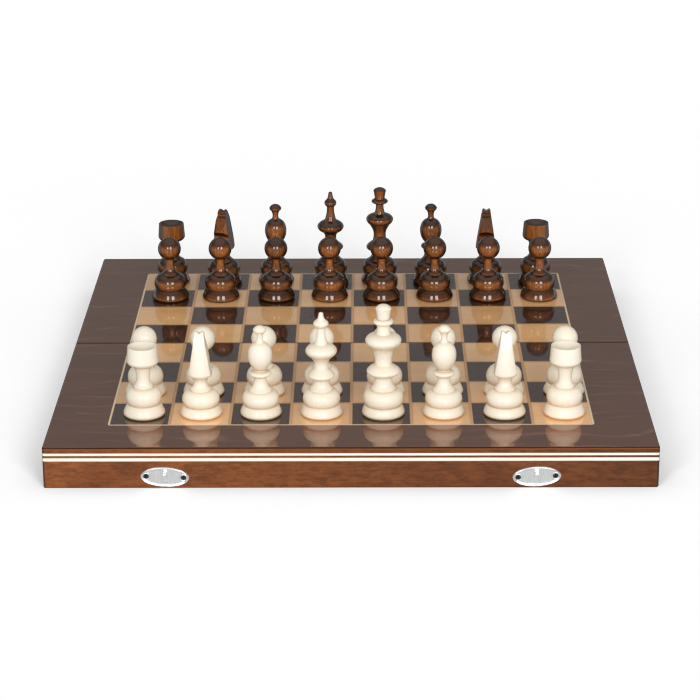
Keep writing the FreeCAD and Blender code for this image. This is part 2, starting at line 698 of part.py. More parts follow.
def add_half(prefix, place):
    """Wood of one half, made in the front half's place and moved to its own."""
    latch, hinge, left, right = mitred_walls()
    latch = cut_plate_screw_holes(latch)
    hinge = cut_hinge_seats(hinge)
    add(prefix + "_latch_wall", [place(latch)])
    add(prefix + "_frame_walls", [place(wall) for wall in (hinge, left, right)])
    add(prefix + "_panel", [place(panel())])
    add(prefix + "_border_veneer", [place(border_veneer())])
    add(prefix + "_dark_squares", [place(tile) for tile in front_squares(True)])
    add(prefix + "_light_squares", [place(tile) for tile in front_squares(False)])
    add(prefix + "_maple_lines", [place(line) for line in [stringing()] + stripes()])
    add(prefix + "_dark_points", [place(point) for point in front_points(True)])
    add(prefix + "_light_points", [place(point) for point in front_points(False)])
    screws = [leaf_screw(x, y, 0) for middle in hinge_places() for x, y in leaf_screw_places(middle)]
    for middle, tilt in latch_places():
        screws += [on_latch_wall(plate_screw(x), middle, tilt) for x in plate_screw_places()]
    add(prefix + "_screws", [place(screw) for screw in screws])


def add_hinges():
    """Leaves of both halves and the pins through their knuckles."""
    add("front_hinge_leaves", [hinge_leaf(middle, 0, -1) for middle in hinge_places()])
    add("rear_hinge_leaves", [hinge_leaf(middle, 1, 1) for middle in hinge_places()])
    starts = [middle - hinge_length / 2 for middle in hinge_places()]
    add("hinge_pins", [rod(hinge_pin_radius, x0, x0 + hinge_length, 0, axis_level) for x0 in starts])


def add_latches():
    """Keepers on the front half, and hook plates, rivets and hooks on the rear half."""
    places = latch_places()
    add("keeper_plates", [on_latch_wall(keeper(), x, tilt) for x, tilt in places])
    add("hook_plates", [turn_to_rear(on_latch_wall(hook_plate(), x, tilt)) for x, tilt in places])
    add("hook_rivets", [turn_to_rear(on_latch_wall(rivet(), x)) for x, tilt in places])
    right_hook = hook()
    left_hook = right_hook.mirror(ORIGIN, Vector(1, 0, 0))
    add("right_hook", [turn_to_rear(on_latch_wall(right_hook, places[0][0]))])
    add("left_hook", [turn_to_rear(on_latch_wall(left_hook, places[1][0]))])


def rook(base_radius, height):
    """Rook whose turret is hollowed to a dish."""
    return turned(rook_shares, base_radius, height, rook_rim_width, height - rook_dish_depth)


def back_row(side_rook, queen, king, left_turn, right_turn):
    """Names and shapes of the men behind the pawns, from left to right, with the knights turned."""
    bishop = turned(bishop_shares, bishop_base_radius, bishop_height)
    left_knight = knight()
    left_knight.rotate(ORIGIN, UP, left_turn)
    right_knight = knight()
    right_knight.rotate(ORIGIN, UP, right_turn)
    return [("rook_a", side_rook), ("knight_b", left_knight), ("bishop_c", bishop), ("queen", queen),
            ("king", king), ("bishop_f", bishop), ("knight_g", right_knight), ("rook_h", side_rook)]


def white_back_row():
    """The white set's back row."""
    queen = turned(queen_shares, queen_base_radius, queen_height)
    king = turned(king_shares, king_base_radius, king_height)
    side_rook = rook(rook_base_radius, rook_height)
    return back_row(side_rook, queen, king, white_left_knight_turn, white_right_knight_turn)


def dark_back_row():
    """The dark set's back row. Its knights face the front, half a turn from the white ones."""
    queen = turned(dark_queen_shares, dark_queen_base_radius, dark_queen_height)
    king = turned(dark_king_shares, dark_king_base_radius, dark_king_height)
    side_rook = rook(dark_rook_base_radius, dark_rook_height)
    return back_row(side_rook, queen, king, 180 + dark_left_knight_turn, 180 + dark_right_knight_turn)


def pawn_row():
    """Names and shapes of eight pawns."""
    pawn = turned(pawn_shares, pawn_base_radius, pawn_height)
    return [("pawn_" + letter, pawn) for letter in "abcdefgh"]


def add_row(colour, men, row, shift_shares, back_share=0):
    """Stands a row of men on its squares."""
    for column, (name, man) in enumerate(men):
        shift = Vector(shift_shares[column] * square_pitch, back_share * square_pitch, 0)
        placed = man.copy()
        placed.translate(square_middle(column, row) + shift)
        add(colour + "_" + name, [placed])


def add_men():
    """Both sets of men on their squares."""
    last = squares_per_side - 1
    add_row("white", white_back_row(), 0, white_back_shift_shares)
    add_row("white", pawn_row(), 1, white_pawn_shift_shares)
    add_row("dark", dark_back_row(), last, dark_back_shift_shares)
    add_row("dark", pawn_row(), last - 1, dark_pawn_shift_shares, dark_pawn_back_share)


def main():
    """Makes every node and writes it."""
    add_half("front", lambda shape: shape)
    add_half("rear", turn_to_rear)
    add_hinges()
    add_latches()
    add_men()
    os.makedirs("parts", exist_ok=True)
    for name, shape in parts.items():
        shape.exportStep("parts/" + name + ".step")


main()
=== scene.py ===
"""Looks of a folding chess and backgammon board: its finishes, pressed plates, light and camera.

Metres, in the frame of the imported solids: +Z is up from the table, X runs along the seam and the viewer
stands at -Y. Textures are laid out in millimetres.
"""

import logging
import math
from dataclasses import dataclass, field
from enum import Enum
from typing import ClassVar, Optional, Sequence, Union

import bpy
from mathutils import Matrix, Vector


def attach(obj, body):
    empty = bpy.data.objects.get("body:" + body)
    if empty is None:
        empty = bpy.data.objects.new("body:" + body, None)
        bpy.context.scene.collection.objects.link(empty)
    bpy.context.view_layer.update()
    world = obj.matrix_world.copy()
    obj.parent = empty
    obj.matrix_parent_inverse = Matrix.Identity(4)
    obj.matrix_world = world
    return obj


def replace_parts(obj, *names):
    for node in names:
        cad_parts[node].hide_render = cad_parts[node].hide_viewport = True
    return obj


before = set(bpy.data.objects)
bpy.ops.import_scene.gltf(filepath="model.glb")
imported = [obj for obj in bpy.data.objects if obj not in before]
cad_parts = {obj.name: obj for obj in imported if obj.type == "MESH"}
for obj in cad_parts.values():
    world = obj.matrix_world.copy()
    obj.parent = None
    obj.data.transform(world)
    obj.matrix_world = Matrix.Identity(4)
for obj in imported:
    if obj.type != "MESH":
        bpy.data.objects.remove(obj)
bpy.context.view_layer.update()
log = logging.getLogger("board")

Socket = bpy.types.NodeSocket
Feed = Union[Socket, float, Sequence[float]]
Colour = tuple[float, float, float, float]
Triple = tuple[float, float, float]
Band = tuple[float, float]
MM = 0.001
SHARP_ANGLE = math.radians(40)


def tint(code: str) -> Colour:
    """Scene colour of a display colour.

    Args:
        code: six hexadecimal digits, red first.

    Returns:
        Linear red, green, blue and a full alpha.
    """
    parts = [int(code[i:i + 2], 16) / 255 for i in (0, 2, 4)]
    linear = [p / 12.92 if p <= 0.04045 else ((p + 0.055) / 1.055) ** 2.4 for p in parts]
    return (linear[0], linear[1], linear[2], 1.0)


class Half(Enum):
    """The two trays of the board, by the start of their nodes' names."""

    FRONT = "front"
    REAR = "rear"


class Side(Enum):
    """The two sets of men, by the start of their nodes' names."""

    PALE = "white"
    DARK = "dark"


class Graph:
    """Builds one node tree with short calls."""

    def __init__(self, tree: bpy.types.NodeTree) -> None:
        """Keeps the tree that the calls add to."""
        self.tree = tree

    def feed(self, socket: Socket, value: Feed) -> None:
        """Links a socket to another one, or sets its value."""
        if isinstance(value, bpy.types.NodeSocket):
            self.tree.links.new(value, socket)
        else:
            socket.default_value = value

    def add(self, kind: str, inputs: Optional[dict] = None, **settings: object) -> bpy.types.Node:
        """Adds a node.

        Args:
            kind: the node's type name.
            inputs: feeds by input name or number.
            settings: the node's own properties.

        Returns:
            The new node.
        """
        node = self.tree.nodes.new(kind)
        for name, value in settings.items():
            setattr(node, name, value)
        for name, value in (inputs or {}).items():
            self.feed(node.inputs[name], value)
        return node

    def math(self, operation: str, a: Feed, b: Feed = 0.0) -> Socket:
        """One sum on two values."""
        return self.add("ShaderNodeMath", {0: a, 1: b}, operation=operation).outputs[0]

    def scaled(self, vector: Feed, factors: Sequence[float]) -> Socket:
        """A vector with each of its parts multiplied."""
        node = self.add("ShaderNodeVectorMath", {0: vector, 1: factors}, operation="MULTIPLY")
        return node.outputs[0]

    def shifted(self, vector: Feed, shift: Feed) -> Socket:
        """The sum of two vectors."""
        return self.add("ShaderNodeVectorMath", {0: vector, 1: shift}, operation="ADD").outputs[0]

    def parts(self, vector: Feed) -> tuple[Socket, Socket, Socket]:
        """The three parts of a vector."""
        found = self.add("ShaderNodeSeparateXYZ", {0: vector}).outputs
        return found[0], found[1], found[2]

    def joined(self, x: Feed, y: Feed, z: Feed) -> Socket:
        """A vector from its three parts."""
        return self.add("ShaderNodeCombineXYZ", {0: x, 1: y, 2: z}).outputs[0]

    def noise(self, vector: Feed, detail: float = 2.0, rough: float = 0.5) -> Socket:
        """Soft noise with features about one unit wide."""
        inputs = {"Vector": vector, "Scale": 1.0, "Detail": detail, "Roughness": rough}
        return self.add("ShaderNodeTexNoise", inputs).outputs["Fac"]

    def band(self, value: Feed, low: float, high: float) -> Socket:
        """Smooth step from 0 at low to 1 at high."""
        inputs = {"Value": value, "From Min": low, "From Max": high}
        node = self.add("ShaderNodeMapRange", inputs, interpolation_type="SMOOTHSTEP")
        return node.outputs[0]

    def span(self, value: Feed, low: float, high: float) -> Socket:
        """A share from 0 to 1 spread over low to high."""
        return self.add("ShaderNodeMapRange", {"Value": value, "To Min": low, "To Max": high}).outputs[0]

    def mix(self, share: Feed, a: Feed, b: Feed, mode: str = "MIX") -> Socket:
        """Colour a, with a share of colour b laid over it."""
        node = self.add("ShaderNodeMix", {0: share, 6: a, 7: b}, data_type="RGBA", blend_type=mode)
        return node.outputs[2]

    def times(self, a: Feed, b: Feed) -> Socket:
        """The product of two values."""
        return self.math("MULTIPLY", a, b)

    def rest(self, share: Feed) -> Socket:
        """What a share leaves of 1."""
        return self.math("SUBTRACT", 1.0, share)

    def blend(self, a: Feed, b: Feed, part: float) -> Socket:
        """A part of one value and the rest of another."""
        return self.math("ADD", self.times(a, part), self.times(b, 1 - part))

    def layer(self, colour: Feed, over: Feed, mask: Feed, share: float) -> Socket:
        """A colour with a share of another one laid over it where the mask is."""
        return self.mix(self.times(mask, share), colour, over)

    def toned(self, colour: Feed, level: Feed) -> Socket:
        """A colour made lighter or darker by a level."""
        return self.mix(1.0, colour, self.joined(level, level, level), "MULTIPLY")

    def choose(self, share: Feed, a: Feed, b: Feed) -> Socket:
        """Vector a, or vector b where the share is 1."""
        return self.add("ShaderNodeMix", {0: share, 4: a, 5: b}, data_type="VECTOR").outputs[1]


class Effect:
    """A shader node group that is built once and placed in each finish that uses it."""

    title: ClassVar[str] = ""
    takes: ClassVar[dict[str, object]] = {}
    gives: ClassVar[Sequence[str]] = ()

    @classmethod
    def wire(cls, graph: Graph, source: bpy.types.NodeOutputs) -> dict[str, Socket]:
        """Adds the group's nodes.

        Args:
            graph: the group's own tree.
            source: the group's inputs.

        Returns:
            What feeds each output, by its name.
        """
        raise NotImplementedError

    @classmethod
    def tree(cls) -> bpy.types.NodeTree:
        """The group's node tree, built at its first use."""
        found = bpy.data.node_groups.get(cls.title)
        if found is not None:
            return found
        made = bpy.data.node_groups.new(cls.title, "ShaderNodeTree")
        for name, value in cls.takes.items():
            kind = "NodeSocketFloat" if isinstance(value, float) else "NodeSocketVector"
            made.interface.new_socket(name, in_out="INPUT", socket_type=kind).default_value = value
        for name in cls.gives:
            kind = "NodeSocketVector" if name == "Shift" else "NodeSocketFloat"
            made.interface.new_socket(name, in_out="OUTPUT", socket_type=kind)
        graph = Graph(made)
        source = graph.add("NodeGroupInput")
        sink = graph.add("NodeGroupOutput")
        for name, socket in cls.wire(graph, source.outputs).items():
            graph.feed(sink.inputs[name], socket)
        return made

    @classmethod
    def place(cls, graph: Graph, **values: Feed) -> bpy.types.NodeOutputs:
        """Puts the group into a tree.

        Args:
            graph: the tree that gets it.
            values: feeds of the group's inputs, by name.

        Returns:
            The placed group's outputs.
        """
        node = graph.add("ShaderNodeGroup", node_tree=cls.tree())
        for name, value in values.items():
            graph.feed(node.inputs[name], value)
        return node.outputs


class FibreGrain(Effect):
    """Fibres along the vector's X, with short open pores and slow blotches of stain."""

    title = "fibre_grain"
    takes = {"Vector": (0.0, 0.0, 0.0), "Fineness": 1.0}
    gives = ("Fibre", "Pores", "Blotch", "Relief")
    fibre_scale: ClassVar[Triple] = (0.022, 0.9, 0.9)
    pore_scale: ClassVar[Triple] = (0.11, 2.4, 2.4)
    blotch_scale: ClassVar[Triple] = (0.012, 0.034, 0.034)
    fibre_band: ClassVar[Band] = (0.30, 0.70)
    pore_band: ClassVar[Band] = (0.64, 0.74)
    blotch_band: ClassVar[Band] = (0.28, 0.72)

    @classmethod
    def wire(cls, graph: Graph, source: bpy.types.NodeOutputs) -> dict[str, Socket]:
        """Three noises, each drawn out along the fibre."""
        fine = graph.add("ShaderNodeVectorMath", {0: source["Vector"], "Scale": source["Fineness"]},
                         operation="SCALE").outputs[0]
        threads = graph.noise(graph.scaled(fine, cls.fibre_scale), detail=5.0, rough=0.62)
        holes = graph.noise(graph.scaled(fine, cls.pore_scale), detail=1.0)
        stain = graph.noise(graph.scaled(source["Vector"], cls.blotch_scale), detail=3.0, rough=0.55)
        fibre = graph.band(threads, *cls.fibre_band)
        pores = graph.band(holes, *cls.pore_band)
        return {
            "Fibre": fibre,
            "Pores": pores,
            "Blotch": graph.band(stain, *cls.blotch_band),
            "Relief": graph.math("ADD", fibre, pores),
        }


class GrowthLines(Effect):
    """Thin growth lines across the vector's Y, which wander and close into arcs."""

    title = "growth_lines"
    takes = {"Vector": (0.0, 0.0, 0.0), "Spacing": 15.0, "Wander": 3.0}
    gives = ("Line", "Level")
    bend_scale: ClassVar[Triple] = (0.0055, 0.016, 0.016)
    faint_scale: ClassVar[Triple] = (0.02, 0.09, 0.09)
    line_band: ClassVar[Band] = (0.02, 0.20)
    faint_band: ClassVar[Band] = (0.38, 0.62)

    @classmethod
    def wire(cls, graph: Graph, source: bpy.types.NodeOutputs) -> dict[str, Socket]:
        """Contours of a slope that a slow noise bends."""
        slope = graph.math("DIVIDE", graph.parts(source["Vector"])[1], source["Spacing"])
        bend = graph.noise(graph.scaled(source["Vector"], cls.bend_scale), detail=2.0, rough=0.4)
        level = graph.math("ADD", slope, graph.times(bend, source["Wander"]))
        wave = graph.times(graph.math("PINGPONG", level, 0.5), 2.0)
        faint = graph.noise(graph.scaled(source["Vector"], cls.faint_scale), detail=2.0)
        line = graph.rest(graph.band(wave, *cls.line_band))
        return {"Line": graph.times(line, graph.band(faint, *cls.faint_band)), "Level": wave}


class SquareCells(Effect):
    """A random tone and shift for each square of the field, and how far a point lies from its middle."""

    title = "square_cells"
    takes = {"Vector": (0.0, 0.0, 0.0), "Pitch": 48.25}
    gives = ("Tone", "Shift", "Reach")
    draw_offset: ClassVar[Triple] = (0.37, 0.61, 0.13)
    shift_span: ClassVar[Triple] = (400.0, 300.0, 200.0)

    @classmethod
    def wire(cls, graph: Graph, source: bpy.types.NodeOutputs) -> dict[str, Socket]:
        """Counts the squares from the middle of the board."""
        x, y, _ = graph.parts(source["Vector"])
        counts = [graph.math("DIVIDE", part, source["Pitch"]) for part in (x, y)]
        column, row = [graph.math("FLOOR", count) for count in counts]
        seed = graph.shifted(graph.joined(column, row, 0.0), cls.draw_offset)
        draw = graph.add("ShaderNodeTexWhiteNoise", {"Vector": seed}, noise_dimensions="3D")
        inside = [graph.math("SUBTRACT", graph.math("FRACT", count), 0.5) for count in counts]
        across, along = [graph.math("ABSOLUTE", part) for part in inside]
        return {
            "Tone": draw.outputs["Value"],
            "Shift": graph.scaled(draw.outputs["Color"], cls.shift_span),
            "Reach": graph.times(graph.math("MAXIMUM", across, along), source["Pitch"]),
        }


class Handling(Effect):
    """Smudges from fingers and fine settled dust."""

    title = "handling"
    takes = {"Vector": (0.0, 0.0, 0.0)}
    gives = ("Smudge", "Dirt")
    smudge_scale: ClassVar[Triple] = (0.03, 0.03, 0.03)
    dust_scale: ClassVar[Triple] = (0.9, 0.9, 0.9)
    smudge_band: ClassVar[Band] = (0.40, 0.75)
    dust_band: ClassVar[Band] = (0.70, 0.80)

    @classmethod
    def wire(cls, graph: Graph, source: bpy.types.NodeOutputs) -> dict[str, Socket]:
        """A slow noise for the smudges, and a fine one for the dust, which adds to them."""
        slow = graph.noise(graph.scaled(source["Vector"], cls.smudge_scale), detail=4.0, rough=0.6)
        fine = graph.noise(graph.scaled(source["Vector"], cls.dust_scale), detail=2.0, rough=0.7)
        smudge = graph.band(slow, *cls.smudge_band)
        dust = graph.band(fine, *cls.dust_band)
        return {"Smudge": smudge, "Dirt": graph.math("ADD", smudge, dust)}


class EdgeWear(Effect):
    """A mask of the outer edges, broken up as rubbing leaves them."""

    title = "edge_wear"
    takes = {"Vector": (0.0, 0.0, 0.0), "Radius": 0.0006}
    gives = ("Wear",)
    edge_band: ClassVar[Band] = (0.01, 0.16)
    rub_scale: ClassVar[Triple] = (0.12, 0.12, 0.12)
    rub_band: ClassVar[Band] = (0.38, 0.66)

    @classmethod
    def wire(cls, graph: Graph, source: bpy.types.NodeOutputs) -> dict[str, Socket]:
        """Compares the surface's normal with the normal of the same surface with rounded edges."""
        soft = graph.add("ShaderNodeBevel", {"Radius": source["Radius"]}, samples=4).outputs[0]
        hard = graph.add("ShaderNodeNewGeometry").outputs["Normal"]
        match = graph.add("ShaderNodeVectorMath", {0: soft, 1: hard}, operation="DOT_PRODUCT")
        edge = graph.band(graph.rest(match.outputs["Value"]), *cls.edge_band)
        rub = graph.noise(graph.scaled(source["Vector"], cls.rub_scale), detail=4.0, rough=0.65)
        return {"Wear": graph.times(edge, graph.band(rub, *cls.rub_band))}


class Recess(Effect):
    """A mask of grooves and corners that the piece's own faces close in on."""

    title = "recess"
    takes = {"Distance": 0.004}
    gives = ("Depth",)
    own_faces_only: ClassVar[bool] = True
    depth_band: ClassVar[Band] = (0.05, 0.75)

    @classmethod
    def wire(cls, graph: Graph, source: bpy.types.NodeOutputs) -> dict[str, Socket]:
        """What is hidden from the open."""
        open_share = graph.add("ShaderNodeAmbientOcclusion", {"Distance": source["Distance"]},
                               samples=6, only_local=cls.own_faces_only).outputs["AO"]
        return {"Depth": graph.band(graph.rest(open_share), *cls.depth_band)}


class Shelter(Recess):
    """A mask of faces that stand close to other pieces."""

    title = "shelter_shade"
    own_faces_only = False


class SeamLine(Effect):
    """A mask along the seam between the halves, where the vector's Y is small."""

    title = "seam_line"
    takes = {"Vector": (0.0, 0.0, 0.0), "Width": 1.7}
    gives = ("Seam",)
    fade_band: ClassVar[Band] = (0.40, 1.0)

    @classmethod
    def wire(cls, graph: Graph, source: bpy.types.NodeOutputs) -> dict[str, Socket]:
        """Fades from the seam to its width."""
        off = graph.math("ABSOLUTE", graph.parts(source["Vector"])[1])
        share = graph.math("DIVIDE", off, source["Width"])
        return {"Seam": graph.rest(graph.band(share, *cls.fade_band))}


class Brushing(Effect):
    """Fine streaks along the vector's Z, as a brush leaves them before plating."""

    title = "brushing"
    takes = {"Vector": (0.0, 0.0, 0.0)}
    gives = ("Streak", "Cloud")
    streak_scale: ClassVar[Triple] = (3.2, 3.2, 0.12)
    cloud_scale: ClassVar[Triple] = (0.22, 0.22, 0.10)
    streak_band: ClassVar[Band] = (0.30, 0.70)
    cloud_band: ClassVar[Band] = (0.32, 0.68)

    @classmethod
    def wire(cls, graph: Graph, source: bpy.types.NodeOutputs) -> dict[str, Socket]:
        """A noise drawn out along Z and a slow one for the plating's clouds."""
        streak = graph.noise(graph.scaled(source["Vector"], cls.streak_scale), detail=3.0, rough=0.6)
        cloud = graph.noise(graph.scaled(source["Vector"], cls.cloud_scale), detail=3.0, rough=0.55)
        return {"Streak": graph.band(streak, *cls.streak_band), "Cloud": graph.band(cloud, *cls.cloud_band)}


@dataclass
class Place:
    """Where a shaded point lies: millimetres in the piece's own frame, and how far its face looks up."""

    mm: Socket
    x: Socket
    y: Socket
    z: Socket
    up: Socket


@dataclass
class Paint:
    """What a finish hands to the shader. A coat or metal share here goes before the finish's own."""

    colour: Socket
    roughness: Socket
    height: Socket
    coat: Optional[Socket] = None
    metallic: Optional[Socket] = None


@dataclass(frozen=True)
class Finish:
    """One finish: a slot name and how its surface takes light."""

    name: str
    slot: str
    specular: float = 0.30
    specular_tint: Colour = (1.0, 1.0, 1.0, 1.0)
    ior: float = 1.5
    metallic: float = 0.0
    coat: float = 0.0
    coat_roughness: float = 0.04
    coat_ior: float = 1.5
    relief: float = 0.00005

    def paint(self, graph: Graph, place: Place) -> Paint:
        """Adds the finish's own nodes.

        Args:
            graph: the material's tree.
            place: the shaded point.

        Returns:
            The sockets that feed the shader.
        """
        raise NotImplementedError

    def material(self) -> bpy.types.Material:
        """The finish as a material, built at its first use."""
        found = bpy.data.materials.get(self.name)
        if found is not None:
            return found
        made = bpy.data.materials.new(self.name)
        made.use_nodes = True
        made.node_tree.nodes.clear()
        graph = Graph(made.node_tree)
        source = graph.add("ShaderNodeTexCoord").outputs
        mm = graph.scaled(source["Object"], (1 / MM, 1 / MM, 1 / MM))
        x, y, z = graph.parts(mm)
        paint = self.paint(graph, Place(mm, x, y, z, graph.parts(source["Normal"])[2]))
        bump = graph.add("ShaderNodeBump", {
            "Strength": 1.0, "Distance": self.relief, "Height": paint.height,
        })
        shader = graph.add("ShaderNodeBsdfPrincipled", {
            "Base Color": paint.colour,
            "Roughness": paint.roughness,
            "Normal": bump.outputs[0],
            "Metallic": self.metallic if paint.metallic is None else paint.metallic,
            "Specular IOR Level": self.specular,
            "Specular Tint": self.specular_tint,
            "IOR": self.ior,
            "Coat Weight": self.coat if paint.coat is None else paint.coat,
            "Coat Roughness": self.coat_roughness,
            "Coat IOR": self.coat_ior,
        })
        sink = graph.add("ShaderNodeOutputMaterial", {"Surface": shader.outputs[0]})
        sink.is_active_output = True
        return made

    def dress(self, *nodes: str) -> None:
        """Gives the finish to CAD nodes, which keep their shape."""
        for node in nodes:
            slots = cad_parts[node].data.materials
            slots.clear()
            slots.append(self.material())
            log.info("%s: %s", node, self.name)


@dataclass(frozen=True)
class BorderVeneer(Finish):
    """Dark veneer under gloss lacquer, with copper growth lines."""

    light: Colour = tint("5a3a30")
    deep: Colour = tint("402824")
    line: Colour = tint("866050")
    # Near-black painted shade for the rounded edges and the seam
    edge_and_seam_shade: Colour = tint("24100a")
    side_wood: Colour = tint("74401f")
    line_spacing: float = 17.0
    line_wander: float = 6.0
    fibre_part: float = 0.6
    streak_span: Band = (0.30, 0.80)
    pore_share: float = 0.35
    wear_radius: float = 0.0005
    wear_share: float = 0.2
    edge_band: Band = (0.70, 0.98)
    edge_shade_share: float = 0.9
    edge_rough: float = 0.9
    side_band: Band = (0.05, 0.30)
    rough_span: Band = (0.07, 0.11)

    def paint(self, graph: Graph, place: Place) -> Paint:
        """Fibres and lines along X, painted shade on the rounded edges and along the seam, and plain wood
        round the sides.
        """
        grain = FibreGrain.place(graph, Vector=place.mm)
        lines = GrowthLines.place(
            graph, Vector=place.mm, Spacing=self.line_spacing, Wander=self.line_wander)
        touch = Handling.place(graph, Vector=place.mm)
        wear = EdgeWear.place(graph, Vector=place.mm, Radius=self.wear_radius)
        seam = SeamLine.place(graph, Vector=place.mm)
        tone = graph.blend(grain["Fibre"], grain["Blotch"], self.fibre_part)
        colour = graph.mix(tone, self.deep, self.light)
        streak = graph.times(lines["Line"], graph.span(grain["Fibre"], *self.streak_span))
        colour = graph.mix(streak, colour, self.line)
        colour = graph.layer(colour, self.deep, grain["Pores"], self.pore_share)
        colour = graph.layer(colour, self.line, wear["Wear"], self.wear_share)
        # Painted shade: faces that turn away from up at the rounded edges, and the seam, go near-black
        turned = graph.rest(graph.band(place.up, *self.edge_band))
        dark = graph.times(graph.math("MAXIMUM", turned, seam["Seam"]), self.edge_shade_share)
        colour = graph.mix(dark, colour, self.edge_and_seam_shade)
        side = graph.rest(graph.band(place.up, *self.side_band))
        colour = graph.mix(side, colour, self.side_wood)
        gloss = graph.span(touch["Dirt"], *self.rough_span)
        rough = graph.math("ADD", gloss, graph.times(dark, self.edge_rough))
        coat = graph.times(graph.rest(dark), self.coat)
        # A share of metal in the near-black painted shade keeps lamp light off the rounded edges and the
        # seam
        shade_metal = graph.times(dark, graph.rest(side))
        return Paint(colour, rough, grain["Relief"], coat, shade_metal)


@dataclass(frozen=True)
class SquareVeneer(Finish):
    """Veneer of one colour of squares: each square is cut from another place of the sheet."""

    light: Colour = tint("fec88a")
    deep: Colour = tint("f4b876")
    rim: Colour = tint("b4763c")
    fineness: float = 1.3
    line_spacing: float = 6.0
    line_wander: float = 2.0
    fibre_part: float = 0.55
    line_share: float = 0.25
    pore_share: float = 0.20
    tone_span: Band = (0.90, 1.08)
    rim_band: Band = (22.2, 23.0)
    rim_share: float = 0.55
    rough_span: Band = (0.38, 0.50)
    cells: bool = True

    def paint(self, graph: Graph, place: Place) -> Paint:
        """Fibres along X, a tone of its own for each square, and a singed rim."""
        cell = SquareCells.place(graph, Vector=place.mm)
        spot = graph.shifted(place.mm, cell["Shift"]) if self.cells else place.mm
        grain = FibreGrain.place(graph, Vector=spot, Fineness=self.fineness)
        lines = GrowthLines.place(graph, Vector=spot, Spacing=self.line_spacing, Wander=self.line_wander)
        touch = Handling.place(graph, Vector=place.mm)
        tone = graph.blend(grain["Fibre"], grain["Blotch"], self.fibre_part)
        colour = graph.mix(tone, self.deep, self.light)
        colour = graph.layer(colour, self.rim, lines["Line"], self.line_share)
        colour = graph.layer(colour, self.rim, grain["Pores"], self.pore_share)
        if self.cells:
            colour = graph.toned(colour, graph.span(cell["Tone"], *self.tone_span))
            singe = graph.band(cell["Reach"], *self.rim_band)
            colour = graph.layer(colour, self.rim, singe, self.rim_share)
        return Paint(colour, graph.span(touch["Dirt"], *self.rough_span), grain["Relief"])


@dataclass(frozen=True)
class LineWood(Finish):
    """Pale inlay: tan between the squares, brighter round the field, and nearly white in the walls."""

    inner: Colour = tint("d0a274")
    inner_edge: Colour = tint("a06a38")
    outer: Colour = tint("ecd2ae")
    seam_shade: Colour = tint("4a2c18")
    stripe: Colour = tint("fff8ec")
    stripe_deep: Colour = tint("f8ecd8")
    field_half: float = 193.0
    half_line: float = 1.1
    stripe_top: float = 32.0
    fineness: float = 1.6
    singe_band: Band = (22.9, 23.5)
    singe_share: float = 0.7
    seam_share: float = 0.8
    fibre_span: Band = (0.88, 1.04)
    rough_span: Band = (0.34, 0.48)

    def paint(self, graph: Graph, place: Place) -> Paint:
        """Chooses the tone by where the strip lies, and adds its fibres."""
        grain = FibreGrain.place(graph, Vector=place.mm, Fineness=self.fineness)
        touch = Handling.place(graph, Vector=place.mm)
        cell = SquareCells.place(graph, Vector=place.mm)
        seam = SeamLine.place(graph, Vector=place.mm)
        singe = graph.rest(graph.band(cell["Reach"], *self.singe_band))
        colour = graph.layer(self.inner, self.inner_edge, singe, self.singe_share)
        far = graph.math("MAXIMUM", graph.math("ABSOLUTE", place.x), graph.math("ABSOLUTE", place.y))
        rim = graph.math("GREATER_THAN", far, self.field_half - self.half_line)
        colour = graph.mix(rim, colour, self.outer)
        colour = graph.layer(colour, self.seam_shade, seam["Seam"], self.seam_share)
        in_wall = graph.math("LESS_THAN", place.z, self.stripe_top)
        stripe = graph.mix(grain["Blotch"], self.stripe, self.stripe_deep)
        colour = graph.mix(in_wall, colour, stripe)
        colour = graph.toned(colour, graph.span(grain["Fibre"], *self.fibre_span))
        return Paint(colour, graph.span(touch["Dirt"], *self.rough_span), grain["Fibre"])


